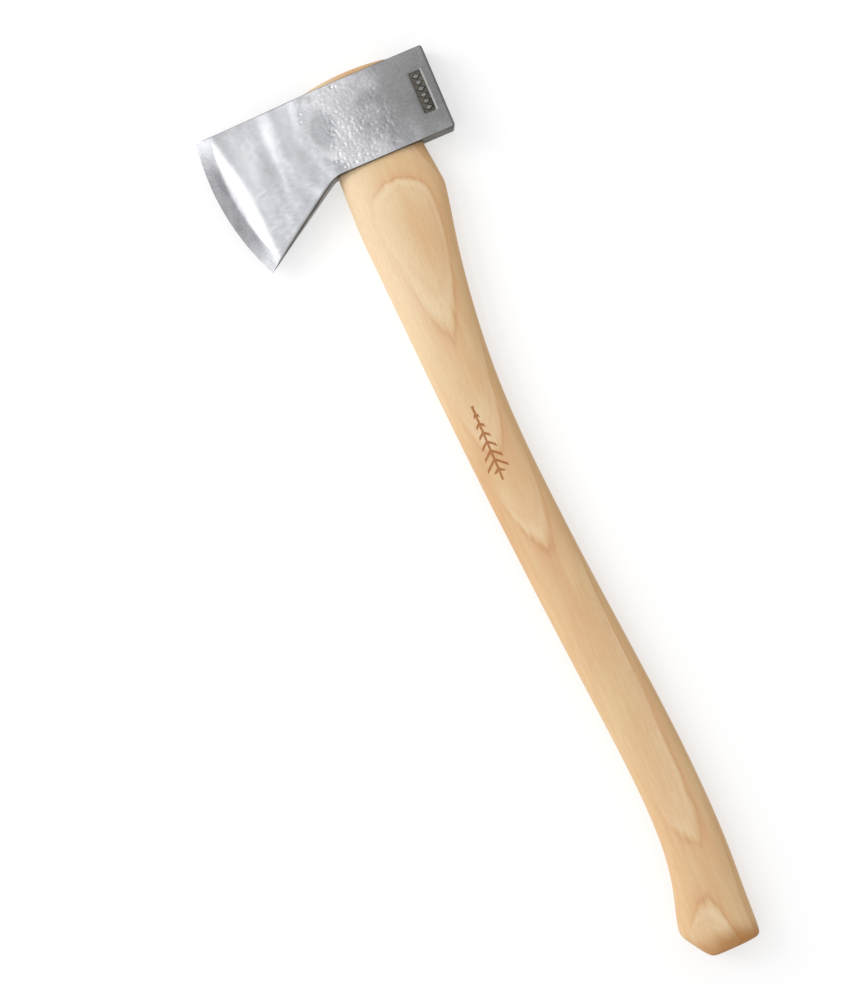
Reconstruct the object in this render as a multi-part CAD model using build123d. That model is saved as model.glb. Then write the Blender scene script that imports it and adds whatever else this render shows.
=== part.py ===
"""A camp hatchet: a forged steel head hung on a curved hardwood haft, held by a wooden wedge
and a steel cross wedge.

Millimetres. The hatchet lies flat on one cheek. +X runs from the cutting edge to the poll, +Y runs
from the butt to the top of the head, and +Z points up out of the upper cheek. The origin is under
the centre of the eye, on the plane that the lower cheek rests on.
"""

import math
import os

from build123d import *

# Driving dimensions of the head
HEAD_LENGTH = 159.0  # poll face to the middle of the cutting edge
HEAD_HEIGHT = 56.0  # top of the head to its underside, at the poll
HEAD_THICKNESS = 22.2  # over the flat cheeks, and over the knob of the haft
EYE_TO_POLL = 52.0  # centre of the eye to the poll face
BEARD_ANGLE = 32.9  # slope of the beard's lower edge from the X axis, in degrees
NECK_X = -30.5  # where the beard's lower edge meets the underside
NECK_RADIUS = 14.0
FLAT_CHEEK_RADIUS = 76.0  # the cheeks are flat out to here, from the middle of the poll
HOLLOW_RADIUS, HOLLOW_HALF = 112.0, 6.55  # a point of the slightly hollow taper
BEVEL_RADIUS, BEVEL_HALF = 147.0, 2.75  # where the ground bevel starts
EDGE_HALF = 0.08  # half the thickness of the cutting edge
CHEEK_LEAN, BEVEL_LEAN = 1.0, 11.0  # slope of the taper where it starts and ends, in degrees
POLL_EDGE = 1.8  # rounding of all four edges of the poll face
HALF_T = HEAD_THICKNESS / 2
HALF_H = HEAD_HEIGHT / 2

# The stamped panel on the upper cheek
PANEL_X, PANEL_WIDTH, PANEL_LENGTH = 41.0, 9.0, 29.0
PANEL_DEPTH = 0.6
PANEL_CORNER = 1.2
LOZENGES, LOZENGE_PITCH = 5, 5.4
LOZENGE_LENGTH, LOZENGE_WIDTH, LOZENGE_RELIEF = 4.2, 5.6, 0.4

# The eye and the tongue of the haft that fills it: y, length along X, thickness along Z
TONGUE_TOP = HALF_H + 3.4
TONGUE_STATIONS = [
    (-HALF_H - 6.0, 59.2, 17.6),
    (-HALF_H, 58.4, 17.2),
    (0.0, 54.4, 15.4),
    (HALF_H, 56.6, 16.6),
    (TONGUE_TOP + 3.0, 57.0, 16.8),
]
EYE_EGG = 0.10  # the eye is this much fuller at its poll end
TONGUE_DOME = 190.0  # radius of the tongue's sawn and sanded top

# The haft below the head: y, front edge x, back edge x, thickness, squareness of the section
HAFT_STATIONS = [
    (-28.0, -29.7, 29.3, 17.8, 2.2),
    (-42.0, -30.2, 30.7, 19.4, 2.3),
    (-56.5, -30.7, 32.1, 20.9, 2.4),
    (-68.0, -30.9, 30.4, 21.4, 2.4),
    (-96.0, -29.9, 24.2, 21.4, 2.4),
    (-132.0, -28.4, 18.6, 20.8, 2.4),
    (-172.0, -26.7, 14.7, 20.2, 2.4),
    (-216.0, -24.5, 13.8, 19.8, 2.4),
    (-264.0, -21.8, 16.1, 19.6, 2.4),
    (-324.0, -17.6, 20.5, 19.4, 2.4),
    (-384.0, -12.9, 26.0, 19.4, 2.4),
    (-436.0, -8.3, 30.4, 19.6, 2.4),
    (-480.0, -6.2, 32.3, 20.0, 2.4),
    (-512.0, -7.4, 32.4, 20.8, 2.4),
    (-536.0, -12.6, 31.2, 21.7, 2.5),
    (-560.0, -19.2, 30.1, 22.2, 2.6),
    (-596.0, -26.0, 29.2, 22.2, 2.6),
]
BUTT_Y = -580.0
TOE_Y, TOE_X = -560.5, -5.6  # the clipped toe runs from the front edge here to the butt here
TOE_FRONT_X = -19.4
BUTT_ROUND = 4.0
BUTT_EDGE_REACH = 2.0  # the edges of the butt and toe lie no higher than this above TOE_Y
SECTION_POINTS = 20

# The wedges
WEDGE_DEPTH = 42.0
WEDGE_TOP, WEDGE_TIP = 5.2, 1.2
STEEL_DEPTH, STEEL_WIDTH = 26.0, 24.0
STEEL_TOP, STEEL_TIP = 3.4, 0.8
STEEL_ANGLE = 26.0  # turned this far from the wooden wedge
STEEL_X = 3.0
STEEL_STEP_DEPTH, STEEL_STEP = 9.0, 0.5  # the step that keys it into the wood

CLEAR = 8.0  # how far a cutting shape runs past the solid it cuts
LIFT = Pos(0, 0, HALF_T)  # from the hatchet's own mid-plane up to its resting plane


def section(y, centre_x, length, thickness, squareness=2.0, egg=0.0):
    """A closed rounded section across the haft or the eye, at one height y."""
    points = []
    for i in range(SECTION_POINTS):
        angle = 2 * math.pi * i / SECTION_POINTS
        c, s = math.cos(angle), math.sin(angle)
        x = math.copysign(abs(c) ** (2 / squareness), c) * length / 2
        z = math.copysign(abs(s) ** (2 / squareness), s) * thickness / 2 * (1 + egg * c)
        points.append((centre_x + x, y, z))
    return Face(Wire(Edge.make_spline([Vector(*p) for p in points], periodic=True)))


def tongue_blank():
    """The full tongue that fills the eye, before its kerf is sawn and its top is dressed."""
    return loft([section(y, 0, length, thick, egg=EYE_EGG) for y, length, thick in TONGUE_STATIONS])


def head_blank():
    """The forging: a lens struck from the middle of the poll, cut to the side profile."""
    taper = Spline(
        (FLAT_CHEEK_RADIUS, HALF_T),
        (HOLLOW_RADIUS, HOLLOW_HALF),
        (BEVEL_RADIUS, BEVEL_HALF),
        tangents=[(1, -math.tan(math.radians(lean))) for lean in (CHEEK_LEAN, BEVEL_LEAN)],
    )
    upper = Polyline((0, 0), (0, HALF_T), (FLAT_CHEEK_RADIUS, HALF_T))
    bevel = Polyline((BEVEL_RADIUS, BEVEL_HALF), (HEAD_LENGTH, EDGE_HALF), (HEAD_LENGTH, 0), (0, 0))
    half = make_face([*upper.edges(), taper.edge(), *bevel.edges()])
    half = Plane.XZ * half
    lens = revolve(half, Axis.Z)
    lens = lens + mirror(lens, about=Plane.XY)
    lens = Pos(EYE_TO_POLL, 0, 0) * lens

    past_edge = EYE_TO_POLL - HEAD_LENGTH - CLEAR
    beard_end = -HALF_H - (NECK_X - past_edge) * math.tan(math.radians(BEARD_ANGLE))
    side = make_face(
        Polyline(
            (EYE_TO_POLL, HALF_H),
            (past_edge, HALF_H),
            (past_edge, beard_end),
            (NECK_X, -HALF_H),
            (EYE_TO_POLL, -HALF_H),
            (EYE_TO_POLL, HALF_H),
        )
    )
    neck = side.vertices().sort_by_distance((NECK_X, -HALF_H, 0))[0]
    side = fillet(neck, NECK_RADIUS)
    forged = lens & extrude(side, HEAD_THICKNESS, both=True)
    poll = forged.faces().sort_by(Axis.X)[-1]
    return fillet(poll.edges(), POLL_EDGE)


def stamped_panel():
    """The pocket of the maker's panel, less the raised lozenges that stand in it."""
    pocket = extrude(RectangleRounded(PANEL_WIDTH, PANEL_LENGTH, PANEL_CORNER), PANEL_DEPTH)
    first = -(LOZENGES - 1) / 2 * LOZENGE_PITCH
    for i in range(LOZENGES):
        y = first + i * LOZENGE_PITCH
        lozenge = make_face(
            Polyline(
                (-LOZENGE_WIDTH / 2, y),
                (0, y + LOZENGE_LENGTH / 2),
                (LOZENGE_WIDTH / 2, y),
                (0, y - LOZENGE_LENGTH / 2),
                (-LOZENGE_WIDTH / 2, y),
            )
        )
        pocket -= extrude(lozenge, LOZENGE_RELIEF)
    return Pos(PANEL_X, 0, HALF_T - PANEL_DEPTH) * pocket


def head():
    """The finished head, with its eye and its stamped panel."""
    return head_blank() - tongue_blank() - stamped_panel()


def haft_body():
    """The haft below the head, with its flat butt and clipped toe."""
    faces = [
        section(y, (front + back) / 2, back - front, thick, squareness)
        for y, front, back, thick, squareness in HAFT_STATIONS
    ]
    outside = EYE_TO_POLL + CLEAR
    toe_slope = (BUTT_Y - TOE_Y) / (TOE_X - TOE_FRONT_X)
    keep = make_face(
        Polyline(
            (-outside, -HALF_H),
            (outside, -HALF_H),
            (outside, BUTT_Y),
            (TOE_X, BUTT_Y),
            (-outside, TOE_Y - toe_slope * (outside + TOE_FRONT_X)),
            (-outside, -HALF_H),
        )
    )
    return loft(faces) & extrude(keep, HEAD_THICKNESS, both=True)


def wedge_prism(top, tip, depth, width, step_depth=0.0, step=0.0):
    """A wedge that points down -Y from the tongue's top, thick along Z and wide along X."""
    slope = (top - tip) / 2 / depth
    outline = [(-top / 2 - slope * CLEAR, CLEAR)]
    if step:
        outline += [
            (-top / 2 + slope * step_depth - step / 2, -step_depth),
            (-top / 2 + slope * step_depth + step / 2, -step_depth),
        ]
    outline += [(-tip / 2, -depth), (tip / 2, -depth)]
    if step:
        outline += [
            (top / 2 - slope * step_depth - step / 2, -step_depth),
            (top / 2 - slope * step_depth + step / 2, -step_depth),
        ]
    outline += [(top / 2 + slope * CLEAR, CLEAR)]
    flat = make_face(Polyline(*outline, outline[0]))
    prism = extrude(flat, width / 2, both=True)  # thick along X, deep along Y, wide along Z
    return Rot(0, 90, 0) * prism


def dressed_top():
    """The space that the tongue and both wedges keep to: below a shallow dome."""
    return Pos(0, TONGUE_TOP - TONGUE_DOME, 0) * Cylinder(TONGUE_DOME, 2 * HEAD_THICKNESS)


def tongue_parts():
    """The split tongue, the wooden wedge and the steel wedge, cut from one blank."""
    above_underside = Pos(0, HEAD_HEIGHT / 2, 0) * Box(HEAD_LENGTH, 2 * HEAD_HEIGHT, HEAD_HEIGHT)
    blank = tongue_blank() & dressed_top() & above_underside
    slot = Pos(0, TONGUE_TOP, 0) * wedge_prism(WEDGE_TOP, WEDGE_TIP, WEDGE_DEPTH, HEAD_LENGTH)
    steel = wedge_prism(
        STEEL_TOP, STEEL_TIP, STEEL_DEPTH, STEEL_WIDTH, STEEL_STEP_DEPTH, STEEL_STEP
    )
    steel = Pos(STEEL_X, TONGUE_TOP, 0) * Rot(0, STEEL_ANGLE, 0) * steel
    tongue = blank - slot - steel
    wood = (blank & slot) - steel
    return tongue, wood, blank & steel


def haft(tongue):
    """The whole haft: the body with its butt rounded over, and the tongue standing on it."""
    body = haft_body()
    butt_edges = [edge for edge in body.edges() if (edge @ 0.5).Y < TOE_Y + BUTT_EDGE_REACH]
    return fillet(butt_edges, BUTT_ROUND) + tongue


def main():
    os.makedirs("parts", exist_ok=True)
    tongue, wooden_wedge, steel_wedge = tongue_parts()
    made = {
        "head": head(),
        "haft": haft(tongue),
        "wooden_wedge": wooden_wedge,
        "steel_wedge": steel_wedge,
    }
    for node, solid in made.items():
        export_step(LIFT * solid, f"parts/{node}.step")
        print(node, round(solid.volume), "mm3", solid.bounding_box().size)


main()
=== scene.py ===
import math
from bisect import bisect_right

import bmesh
import bpy
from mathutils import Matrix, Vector, noise


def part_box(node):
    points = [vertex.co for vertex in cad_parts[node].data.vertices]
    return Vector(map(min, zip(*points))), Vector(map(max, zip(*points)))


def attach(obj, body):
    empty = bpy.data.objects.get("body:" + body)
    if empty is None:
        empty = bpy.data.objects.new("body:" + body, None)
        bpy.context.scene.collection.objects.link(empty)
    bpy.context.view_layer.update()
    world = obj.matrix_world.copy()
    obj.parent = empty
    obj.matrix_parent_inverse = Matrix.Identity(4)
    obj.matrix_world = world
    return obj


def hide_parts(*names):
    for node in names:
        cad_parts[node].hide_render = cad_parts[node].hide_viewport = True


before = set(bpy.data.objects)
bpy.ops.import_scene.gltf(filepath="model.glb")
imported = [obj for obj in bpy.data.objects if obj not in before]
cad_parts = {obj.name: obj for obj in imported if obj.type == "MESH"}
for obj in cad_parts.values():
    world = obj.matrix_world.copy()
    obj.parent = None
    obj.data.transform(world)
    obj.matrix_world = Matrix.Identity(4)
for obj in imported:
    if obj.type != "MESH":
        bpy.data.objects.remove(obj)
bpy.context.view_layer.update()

bl_info = {
    "name": "Hatchet",
    "version": (1, 0, 0),
    "blender": (4, 5, 0),
    "location": "3D View > Sidebar > Hatchet",
    "description": "A forged hatchet on a curved hickory haft, with its wedges and a small studio",
    "category": "Add Mesh",
}

MM = 0.001
HEAD_LOW, HEAD_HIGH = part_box("head")
HAFT_LOW, HAFT_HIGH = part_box("haft")

# Places in the frame, in metres. The hatchet lies on its cheek, with its mid-plane at MID_Z.
POLL_X = HEAD_HIGH.x
TOP_Y = HEAD_HIGH.y
UNDERSIDE_Y = -TOP_Y
MID_Z = HEAD_HIGH.z / 2
HEAD_LENGTH = HEAD_HIGH.x - HEAD_LOW.x
TONGUE_TOP = HAFT_HIGH.y
BUTT_Y = HAFT_LOW.y

# The cheek in millimetres: distance from the middle of the poll face, half the thickness there
CHEEK = [(0, 11.05), (50, 11.1), (74, 11.05), (90, 9.75), (112, 7.35), (143.4, 4.05), (160, 2.3)]
BEVEL_SLOPE = 0.262
CHEEK_CROWN_Y = -18  # the bit is thickest at this height and thins towards its toe and heel
BELT_WAVE = 21  # from one wave of the belt to the next
# Distances from the poll, in metres, between which a finish takes over: the bit's, the bevel's
GROUND_FROM, GROUND_FULL = 78 * MM, 88 * MM
BEVEL_FROM, BEVEL_FULL = 148.5 * MM, 150.5 * MM
MOST_ROUND = 0.42  # an edge's rounding takes no more than this share of half the thickness
PANEL_ENDS, PANEL_SIDES = 4.2 * MM, 3 * MM  # panel left bare round the lozenges
# The hollow that the grinding missed: its middle and half its sizes
HOLLOW_X, HOLLOW_Y, HOLLOW_HALF_X, HOLLOW_HALF_Y = -27.5 * MM, 3 * MM, 9.5 * MM, 17 * MM
# Nicks in the cheek in millimetres: x, y, radius, depth
NICKS = [
    (-11.5, 25.6, 1.3, 0.45),
    (-9.2, 24.6, 0.9, 0.3),
    (-36.5, 17.0, 0.9, 0.12),
    (-38.0, 12.4, 0.7, 0.1),
    (-17.5, 19.0, 0.9, 0.22),
    (12.5, 14.0, 1.1, 0.22),
    (28.0, 6.0, 0.9, 0.2),
    (24.5, -17.5, 1.2, 0.25),
    (-23.0, -15.5, 1.0, 0.2),
]
NECK_X = -30.5 * MM  # where the beard's lower edge leaves the underside
NECK_RADIUS = 14 * MM
BEARD_SLOPE = math.tan(math.radians(32.9))
# The eye in millimetres, flared at both ends: y, front edge x, back edge x, thickness
EYE_RINGS = [
    (29.0, -29.3, 29.3, 18.0),
    (28.0, -28.8, 28.8, 17.2),
    (26.8, -28.3, 28.3, 16.6),
    (0.0, -27.2, 27.2, 15.4),
    (-26.0, -29.1, 29.1, 17.0),
    (-27.6, -29.5, 29.5, 17.8),
    (-29.0, -30.2, 30.2, 18.8),
]

# The haft in millimetres, from the dressed top of its tongue down to past its butt:
# y, front edge x, back edge x, thickness
TONGUE_RINGS = [
    (30.2, -28.1, 28.1, 16.4),
    (26.0, -28.0, 28.0, 16.3),
    (0.0, -27.1, 27.1, 15.2),
    (-27.0, -28.9, 28.9, 16.9),
]
HAFT_RINGS = [
    (-28.1, -29.1, 29.0, 17.3),
    (-28.4, -29.6, 29.3, 17.7),
    (-34.0, -29.9, 29.8, 18.6),
    (-44.0, -30.3, 31.0, 19.8),
    (-53.5, -30.6, 32.0, 20.7),
    (-56.5, -30.7, 32.3, 20.9),
    (-59.5, -30.8, 31.8, 21.1),
    (-72.0, -30.9, 29.6, 21.4),
    (-96.0, -29.9, 24.2, 21.4),
    (-132.0, -28.4, 18.5, 20.8),
    (-172.0, -26.7, 14.5, 20.2),
    (-216.0, -24.5, 13.6, 19.8),
    (-264.0, -21.8, 16.0, 19.6),
    (-324.0, -17.6, 20.5, 19.4),
    (-384.0, -12.9, 26.1, 19.4),
    (-436.0, -8.3, 30.5, 19.6),
    (-480.0, -6.0, 32.4, 20.0),
    (-512.0, -7.2, 32.5, 20.8),
    (-532.0, -11.4, 31.6, 21.5),
    (-547.0, -16.0, 30.6, 21.9),
    (-596.0, -29.0, 29.0, 21.9),
]
# The growth rings in millimetres along the haft: ring height under the top's middle, ring climb
RING_HEIGHTS = [
    (-580, 0.60), (-560, 0.05), (-542, -0.22), (-525, -0.32), (-505, -0.13),
    (-466, 0.45), (-400, 0.69), (-296, 1.0), (-227, 1.95), (-180, 2.50),
    (-158, 2.80), (-147, 2.90), (-137, 2.96), (-122, 3.03), (-104, 3.12),
    (-78, 3.20), (-59, 3.17), (-48, 3.04), (-40, 2.88), (31, 2.2),
]
RING_CLIMBS = [
    (-580, 0.030), (-560, 0.022), (-545, 0.010), (-508, 0.0), (-470, 0.016),
    (-420, 0.020), (-340, 0.012), (-290, 0.0), (-227, 0.006), (-142, -0.006),
    (-100, -0.010), (-50, 0.0), (31, 0.0),
]
RING_LOW, RING_SPAN = 0.5, 4.5  # the heights, raised by the first, lie within the second
CLIMB_SPAN = 0.08  # and the climbs within half of this, up or down
RING_TOP_Z = 20.9 * MM  # where the ring heights are counted from
WAIST_Y = -262 * MM  # middle of the haft's handled waist
TOE_X, TOE_Y, TOE_FRONT_X = -5.6 * MM, -560.5 * MM, -19.4 * MM  # the clipped toe of the knob
# The tongue's cap: how much each ring shrinks, and whether it climbs to the top
CAP_RINGS = [(0.985, True), (0.95, False), (0.75, False), (0.6, False), (0.3, False)]

# The branded fir, besides what the panel offers
BRANCH_DROOP = 0.85  # how steeply its branches hang
BRANCHES_LENGTH, STEM_LENGTH = 46.4 * MM, 51.5 * MM
BRANCH_THICK, STEM_THICK = 1.25 * MM, 0.95 * MM  # half of each, out to where it has faded
BURN_FADE = 0.4 * MM  # width over which the burn fades out

# The studio: one big softbox, one strip that lights the bit, and a camera straight above
KEY_PLACE, KEY_AIM, KEY_SIZE = (-1.75, 1.25, 1.55), (-0.02, -0.1, 0.0), (1.25, 1.25)
STRIP_PLACE, STRIP_AIM, STRIP_SIZE = (-0.79, -0.03, 1.86), (-0.09, -0.02, 0.0), (1.3, 0.25)
KEY_RADIANCE, STRIP_RADIANCE = 5.4, 3.4
AIR_BRIGHT_SIDE = (-0.60, 0.35, 0.72)  # the way towards the brightest air
AIR_DIM, AIR_BRIGHT = 0.25, 0.91
FLOOR_SIZE, FLOOR_PLACE = 30, (0, -0.25, -0.0001)
CAMERA_PLACE = (-0.0545, -0.2417, MID_Z + 1.5)
CAMERA_TURN = math.radians(-23.13)
CAMERA_LENS, CAMERA_SENSOR = 84.3, 36  # in millimetres

MERGE = 0.01 * MM  # points closer than this are one
SMOOTH = {"interpolation_type": "SMOOTHSTEP"}


# ---------------------------------------------------------------- small tools


def linear(hex_colour):
    """An sRGB hex colour as the linear values that shaders and lights use."""
    channels = [int(hex_colour[i : i + 2], 16) / 255 for i in (1, 3, 5)]
    return [c / 12.92 if c <= 0.04045 else ((c + 0.055) / 1.055) ** 2.4 for c in channels]


def only(piece):
    """Leaves one object selected and active."""
    bpy.ops.object.select_all(action="DESELECT")
    piece.select_set(True)
    bpy.context.view_layer.objects.active = piece


def named(name):
    """Names the primitive that was just added, with its place put into its mesh."""
    piece = bpy.context.object
    piece.name = name
    piece.data.name = name
    bpy.ops.object.transform_apply(location=True, rotation=True, scale=True)
    return piece


def modify(piece, kind, **settings):
    """Adds a modifier with these settings and applies it."""
    only(piece)
    modifier = piece.modifiers.new(kind.lower(), kind)
    for name, value in settings.items():
        setattr(modifier, name, value)
    bpy.ops.object.modifier_apply(modifier=modifier.name)


def cut(piece, cutter, operation="DIFFERENCE"):
    """Cuts a piece with another, or keeps what they share."""
    faces = len(piece.data.polygons)
    modify(piece, "BOOLEAN", object=cutter, operation=operation, solver="EXACT")
    if len(piece.data.polygons) in (0, faces):
        raise RuntimeError(f"{cutter.name} did not cut {piece.name}")


def close_up(piece):
    """Merges doubled points, caps what is still open and turns every face outwards."""
    only(piece)
    bpy.ops.object.mode_set(mode="EDIT")
    bpy.ops.mesh.select_all(action="SELECT")
    bpy.ops.mesh.remove_doubles(threshold=MERGE)
    bpy.ops.mesh.select_all(action="DESELECT")
    bpy.ops.mesh.select_mode(type="EDGE")
    bpy.ops.mesh.select_non_manifold()
    bpy.ops.mesh.edge_face_add()
    bpy.ops.mesh.select_all(action="SELECT")
    bpy.ops.mesh.normals_make_consistent(inside=False)
    bpy.ops.object.mode_set(mode="OBJECT")


def finish_piece(piece, material, body, slot, *nodes, sharp=35):
    """Smooth shading, the material, and what the frame has to know of a piece."""
    only(piece)
    bpy.ops.object.shade_smooth_by_angle(angle=math.radians(sharp))
    piece.data.materials.clear()
    piece.data.materials.append(material)
    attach(piece, body)
    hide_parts(*nodes)


def add(tree, kind, inputs=(), **settings):
    """Adds one shader node, with its settings, and fills its inputs from values or other nodes.

    Inputs go by name or number. Those of a MapRange are 0, the value, 1 and 2, the range it
    comes from, and 3 and 4, the range it goes to. A Mix has its share in 0, its colours in 6 and 7.
    """
    node = tree.nodes.new("ShaderNode" + kind)
    for name, value in settings.items():
        if name == "stops":
            ramp = node.color_ramp
            while len(ramp.elements) < len(value):
                ramp.elements.new(0.5)
            for element, (place, colour) in zip(ramp.elements, value):
                element.position = place
                element.color = (*colour, 1)
        elif name == "points":
            curve = node.mapping.curves[0]
            while len(curve.points) < len(value):
                curve.points.new(0.5, 0.5)
            for point, place in zip(curve.points, value):
                point.location = place
            node.mapping.update()
        else:
            setattr(node, name, value)
    for socket, value in dict(inputs).items():
        if isinstance(value, bpy.types.Node):
            value = next(output for output in value.outputs if output.enabled)
        if isinstance(value, bpy.types.NodeSocket):
            tree.links.new(value, node.inputs[socket])
        else:
            node.inputs[socket].default_value = value
    return node


def new_material(name):
    """An empty node material with its shader linked to its output."""
    material = bpy.data.materials.new(name)
    material.use_nodes = True
    tree = material.node_tree
    tree.nodes.clear()
    shader = add(tree, "BsdfPrincipled")
    add(tree, "OutputMaterial", {"Surface": shader})
    return material, tree, shader


def smooth_step(value, low, high):
    """0 below low, 1 above high, and a smooth rise between them."""
    t = min(max((value - low) / (high - low), 0), 1)
    return t * t * (3 - 2 * t)


# ---------------------------------------------------------------- the head


def cheek_line(distance):
    """Half the head's thickness at a distance from the middle of the poll, without the bevel."""
    r = distance / MM
    places = [place for place, _ in CHEEK]
    halves = [half for _, half in CHEEK]
    slopes = [(h1 - h0) / (r1 - r0) for (r0, h0), (r1, h1) in zip(CHEEK, CHEEK[1:])]
    tangents = [slopes[0]] + [(a + b) / 2 for a, b in zip(slopes, slopes[1:])] + [slopes[-1]]
    i = min(bisect_right(places, r), len(places) - 1) - 1
    span = places[i + 1] - places[i]
    t = (r - places[i]) / span
    bend_in = (tangents[i] - slopes[i]) * span
    bend_out = (slopes[i] - tangents[i + 1]) * span
    half = halves[i] + slopes[i] * span * t + t * (1 - t) * (bend_in * (1 - t) + bend_out * t)
    return min(half * MM, MID_Z)


def cheek_half(distance, y):
    """Half the head's thickness: the crowned cheek, rolled softly into the bevel of the edge."""
    off_crown = (y / MM - CHEEK_CROWN_Y) / 45
    thin = 1 - 0.34 * smooth_step(distance, 92 * MM, 152 * MM) * off_crown**2
    cheek = cheek_line(distance) * thin
    bevel = BEVEL_SLOPE * (HEAD_LENGTH - distance)
    roll = (1.05 - 0.28 * off_crown**2) * MM
    share = max(roll - abs(cheek - bevel), 0) / roll
    return max(min(cheek, bevel) - share * share * roll / 4, 0)


def underside(x):
    """The lower edge of the head's outline: straight underside, the neck's arc and the beard."""
    half_turn = math.atan(BEARD_SLOPE) / 2
    tangent = NECK_RADIUS * math.tan(half_turn)
    if x >= NECK_X + tangent:
        return UNDERSIDE_Y
    if x > NECK_X - tangent * math.cos(2 * half_turn):
        across = NECK_X + tangent - x
        return UNDERSIDE_Y - NECK_RADIUS + math.sqrt(NECK_RADIUS**2 - across**2)
    return UNDERSIDE_Y - (NECK_X - x) * BEARD_SLOPE


def column_x(distance, y):
    """Where a column of the cheek's grid is at height y: upright first, an arc by the edge."""
    bow = smooth_step(distance, 60 * MM, 100 * MM)
    return POLL_X - math.sqrt(max(distance**2 - (bow * y) ** 2, 0))


def sway(x, y, side, sizes):
    """The slow unevenness of a cheek: waves of the belt, the missed hollow and some swelling.
    Its bare numbers are millimetres, as are those of the pits."""
    place = Vector((x / MM, y / MM, 40.0 * side))
    distance = math.hypot(x - POLL_X, y) / MM
    bow = x / MM + 3.2 * noise.noise(Vector((2.0 * side, y / MM / 16, 5.0)))
    bow -= 0.5 * max(-2 - y / MM, 0) * smooth_step(x / MM, -62, -46)
    stripes = 0.5 - 0.5 * math.sin(2 * math.pi * (bow + 61) / BELT_WAVE)
    flat = smooth_step(distance, 84, 96) * (1 - 0.9 * smooth_step(distance, 114, 126))
    uneven = 0.5 + 0.5 * noise.noise(Vector((distance / 9, y / MM / 26, 9.0 + side)))
    waves = sizes.grind_wave * flat * (stripes + 0.45 * uneven)
    off = math.hypot((x - HOLLOW_X) / HOLLOW_HALF_X, (y - HOLLOW_Y) / HOLLOW_HALF_Y)
    hollow = sizes.hollow_depth * (1 - smooth_step(off, 0.35, 1.15))
    swell = 0.08 * MM * (0.5 + 0.5 * noise.noise(place / 19)) * (1 - flat)
    return waves + hollow + swell


def pits(x, y, side, sizes):
    """The pits and lumps that forging leaves by the eye, and a few nicks."""
    place = Vector((x / MM, y / MM, 40.0 * side))
    distance = math.hypot(x - POLL_X, y) / MM
    wobble = 5 * noise.noise(place / 14)
    forged = 1 - smooth_step(distance + wobble, 80, 90)
    by_eye = 1 - smooth_step(abs(x / MM + 3 + wobble), 14, 31)
    low_down = smooth_step(-y / MM, -15, 5)
    rough = forged * (0.05 + 0.95 * by_eye * (0.45 + 0.55 * low_down))
    distances, centres = noise.voronoi(place / 2.7)
    big = max(0, 1 - (distances[0] / 0.55) ** 2) * (0.55 + 0.6 * noise.noise(centres[0] * 3.1))
    distances, centres = noise.voronoi(place / 1.7 + Vector((7, 3, 1)))
    small = max(0, 1 - (distances[0] / 0.5) ** 2) * (0.5 + 0.6 * noise.noise(centres[0] * 2.3))
    lumps = 0.5 + 0.5 * noise.noise(place / 1.6)
    nicks = 0
    for nick_x, nick_y, radius, deep in NICKS:
        near = math.hypot(x / MM - nick_x, y / MM - nick_y) / radius
        nicks = max(nicks, deep * MM * (1 - smooth_step(near, 0.2, 1)))
    return sizes.pit_depth * rough * max(0.7 * big + 0.35 * small + 0.4 * lumps, 0) + nicks


def head_section():
    """One walk round the head's section. Each step is the share up the side, the share of the
    thickness, and the direction in which the edge's rounding pushes the point."""
    rows, wall, corner = 112, 8, 5
    turns = [math.radians(90 * i / corner) for i in range(1, corner)]
    walk = [(i / rows, 1, 0, 1) for i in range(rows + 1)]
    walk += [(1, 1, math.sin(a), math.cos(a)) for a in turns]
    walk += [(1, 1 - 2 * i / wall, 1, 0) for i in range(wall + 1)]
    walk += [(1, -1, math.cos(a), -math.sin(a)) for a in turns]
    walk += [(1 - i / rows, -1, 0, -1) for i in range(rows + 1)]
    walk += [(0, -1, -math.sin(a), -math.cos(a)) for a in turns]
    walk += [(0, 2 * i / wall - 1, -1, 0) for i in range(wall + 1)]
    walk += [(0, 1, -math.cos(a), math.sin(a)) for a in turns]
    return walk + walk[:1]


def head_columns(sizes):
    """Distances from the poll at which the head's section is placed, closest at the forging."""
    columns = [sizes.poll_round * (1 - math.cos(math.radians(15 * i))) for i in range(6)]
    distance = sizes.poll_round
    while distance < HEAD_LENGTH - 0.2 * MM:
        columns.append(distance)
        distance += (0.55 if 28 * MM < distance < 92 * MM else 0.9) * MM
    return columns + [HEAD_LENGTH - 0.15 * MM, HEAD_LENGTH]


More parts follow.
